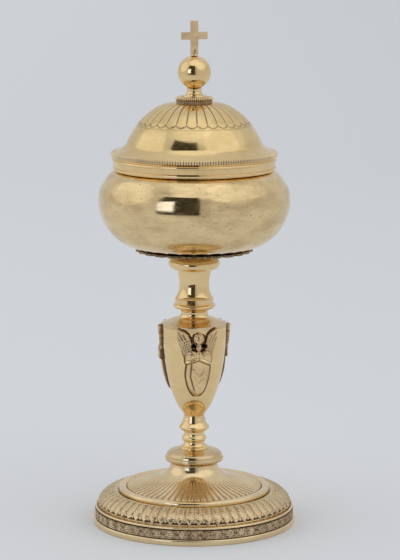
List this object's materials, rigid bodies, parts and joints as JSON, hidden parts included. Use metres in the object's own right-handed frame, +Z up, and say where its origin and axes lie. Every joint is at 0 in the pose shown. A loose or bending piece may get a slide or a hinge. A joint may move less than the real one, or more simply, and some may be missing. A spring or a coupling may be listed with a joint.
{
  "type": "ciborium",
  "caption": "Lidded cup on a turned stem with an urn knop and winged figures, a round stepped foot with rays and leaves, and a domed lid with an orb and a cross.",
  "frame": {"origin": "centre of the underside of the foot, on the surface that it stands on", "axes": "+Z up along the axis of the cup; -Y is the front, which faces the viewer of the picture; +X is to that viewer's right"},
  "size_m": [0.112, 0.112, 0.278],
  "materials": {
    "gilt_polished": "polished silver gilt, pale gold",
    "gilt_worn": "polished silver gilt with fine scratches and faint mottling",
    "gilt_chased": "chased and stamped silver gilt, darker in the hollows",
    "oxidised_ground": "stamped silver gilt with a dark oxidised ground and light rosettes",
    "screw_metal": "plain turned metal, dull"
  },
  "bodies": {
    "cup": {"foot_plinth": "gilt_polished", "foot_frieze": "oxidised_ground", "foot_wire": "gilt_polished", "leaf_band": "gilt_chased", "foot_ring": "gilt_polished", "foot_dome": "gilt_chased", "stem_disc": "gilt_polished", "baluster": "gilt_polished", "knop_body": "gilt_polished", "knop_cap": "gilt_polished", "angel_front": "gilt_chased", "angel_right": "gilt_chased", "angel_left": "gilt_chased", "upper_stem": "gilt_polished", "stem_cushion": "gilt_polished", "calyx": "gilt_chased", "bowl_stud": "screw_metal", "bowl": "gilt_worn", "bowl_lip": "gilt_polished", "tie_rod": "screw_metal", "tie_washer": "screw_metal", "tie_nut": "screw_metal"},
    "lid": {"lid_band": "gilt_polished", "bead_wire": "gilt_chased", "lid_dome": "gilt_worn", "finial_collar": "gilt_chased", "finial_neck": "gilt_polished", "orb": "gilt_polished", "cross_socket": "gilt_polished", "cross": "gilt_polished", "cross_pin": "screw_metal", "finial_screw": "screw_metal", "finial_washer": "screw_metal", "finial_nut": "screw_metal"}
  },
  "joints": [
    {"name": "lid_lift", "type": "slide", "parent": "cup", "child": "lid", "axis": [0, 0, 1], "range_m": [0, 0.06]}
  ]
}
